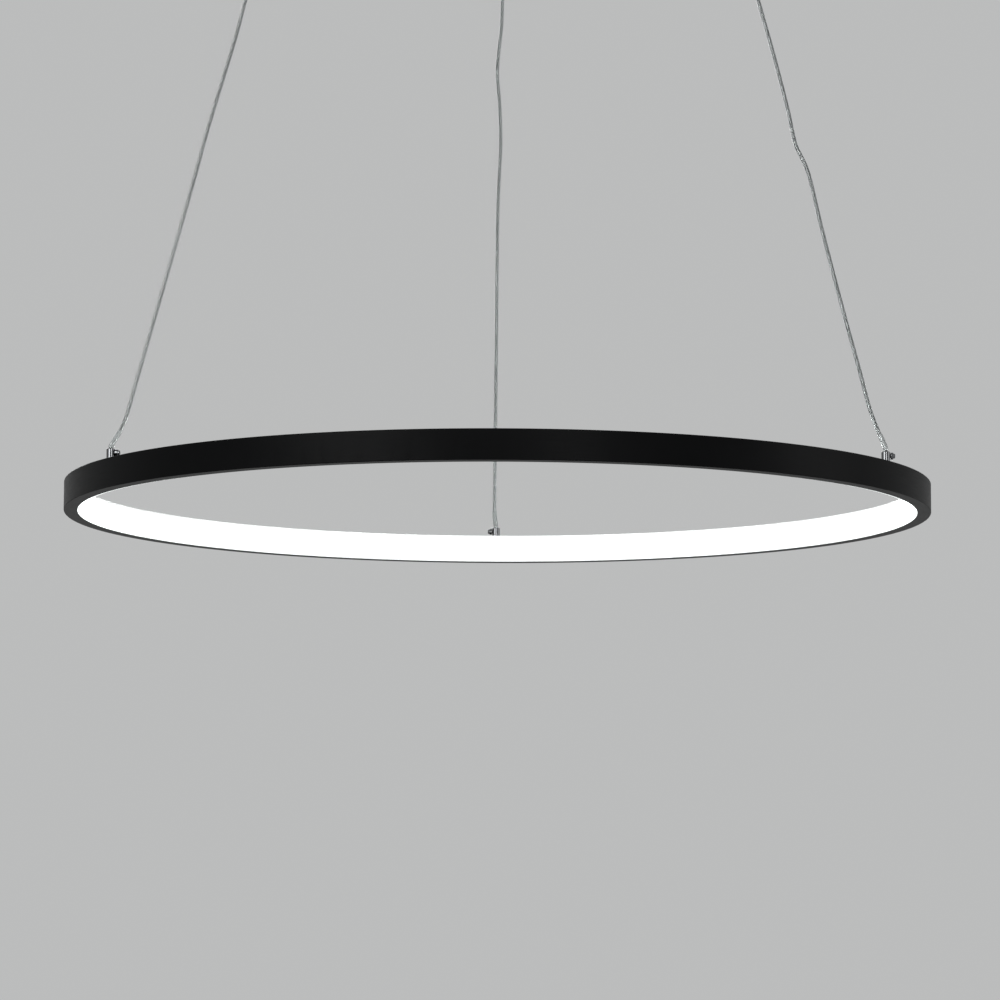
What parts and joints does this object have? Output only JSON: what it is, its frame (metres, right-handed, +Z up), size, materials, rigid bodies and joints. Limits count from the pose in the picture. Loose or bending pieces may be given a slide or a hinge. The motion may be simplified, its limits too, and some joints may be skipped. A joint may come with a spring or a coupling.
{
  "type": "ring chandelier",
  "caption": "Slim lit ring hung level on slanting clear cords from a round ceiling canopy; it shines inwards and its height is set at sprung cord grips.",
  "frame": {"origin": "on the ceiling face, on the canopy's centre line; the lamp hangs towards -Z", "axes": "+Z up into the ceiling; one cord lies in the +Y half plane, the other two 120 degrees either side"},
  "size_m": [0.6, 0.6, 0.84],
  "materials": {
    "black_anodised": "satin black anodised",
    "black_painted_steel": "fine satin black paint",
    "lit_diffuser": "opal, lit from inside",
    "nickel": "polished plating",
    "clear_cord": "clear sheath over twisted silver strands",
    "zinc_steel": "zinc plated",
    "spring_steel": "drawn steel",
    "brass": "plain",
    "white_plastic": "fine moulded grain",
    "circuit_board": "solder mask",
    "light_strip": "white solder mask",
    "light_chip": "phosphor gel",
    "brown_lead": "extruded insulation",
    "blue_lead": "extruded insulation",
    "green_lead": "extruded insulation",
    "red_lead": "extruded insulation",
    "black_lead": "extruded insulation",
    "splice_plastic": "crimped sleeve"
  },
  "bodies": {
    "canopy": {"ceiling_bracket": "zinc_steel", "canopy_cover": "black_painted_steel", "cover_screws": "black_painted_steel", "terminal_block": "white_plastic", "terminal_screws": "brass", "earth_screw": "brass", "driver_base": "white_plastic", "driver_lid": "white_plastic", "driver_board": "circuit_board", "driver_nuts": "zinc_steel", "live_lead": "brown_lead", "neutral_lead": "blue_lead", "earth_lead": "green_lead", "plus_lead": "red_lead", "minus_lead": "black_lead", "lead_splices": "splice_plastic", "grip_body_1": "nickel", "grip_body_2": "nickel", "grip_body_3": "nickel", "grip_nuts": "nickel", "grip_spring_1": "spring_steel", "grip_spring_2": "spring_steel", "grip_spring_3": "spring_steel", "cord_tails": "clear_cord", "cord_1": "clear_cord", "cord_2": "clear_cord", "cord_3": "clear_cord"},
    "ring": {"ring_profile": "black_anodised", "ring_joiners": "zinc_steel", "joiner_screws": "zinc_steel", "led_strip": "light_strip", "led_chips": "light_chip", "feed_wires": "red_lead", "diffuser": "lit_diffuser", "anchor_barrel_1": "nickel", "anchor_barrel_2": "nickel", "anchor_barrel_3": "nickel", "anchor_nuts": "nickel", "cord_ends": "clear_cord"},
    "plunger_1": {"grip_plunger_1": "nickel", "grip_balls_1": "spring_steel"},
    "plunger_2": {"grip_plunger_2": "nickel", "grip_balls_2": "spring_steel"},
    "plunger_3": {"grip_plunger_3": "nickel", "grip_balls_3": "spring_steel"},
    "clamp_1": {"clamp_screw_1": "nickel"},
    "clamp_2": {"clamp_screw_2": "nickel"},
    "clamp_3": {"clamp_screw_3": "nickel"}
  },
  "joints": [
    {"name": "ring_lift", "type": "slide", "parent": "canopy", "child": "ring", "axis": [0, 0, 1], "range_m": [0, 0.45], "deforming": ["cord_1", "cord_2", "cord_3"]},
    {"name": "plunger_1_press", "type": "slide", "parent": "canopy", "child": "plunger_1", "axis": [0, 0, 1], "range_m": [0, 0.0022], "stiffness_N_per_m": 800, "springref_m": -0.002, "deforming": ["grip_spring_1"]},
    {"name": "plunger_2_press", "type": "slide", "parent": "canopy", "child": "plunger_2", "axis": [0, 0, 1], "range_m": [0, 0.0022], "stiffness_N_per_m": 800, "springref_m": -0.002, "deforming": ["grip_spring_2"]},
    {"name": "plunger_3_press", "type": "slide", "parent": "canopy", "child": "plunger_3", "axis": [0, 0, 1], "range_m": [0, 0.0022], "stiffness_N_per_m": 800, "springref_m": -0.002, "deforming": ["grip_spring_3"]},
    {"name": "clamp_1_turn", "type": "hinge", "parent": "ring", "child": "clamp_1", "pos_m": [0, 0.296, -0.8163], "axis": [-1, 0, 0], "range_deg": [0, 450]},
    {"name": "clamp_2_turn", "type": "hinge", "parent": "ring", "child": "clamp_2", "pos_m": [-0.25634, -0.148, -0.8163], "axis": [0.9781, -0.2079, 0], "range_deg": [0, 450]},
    {"name": "clamp_3_turn", "type": "hinge", "parent": "ring", "child": "clamp_3", "pos_m": [0.25634, -0.148, -0.8163], "axis": [0.9903, 0.1392, 0], "range_deg": [0, 450]}
  ]
}
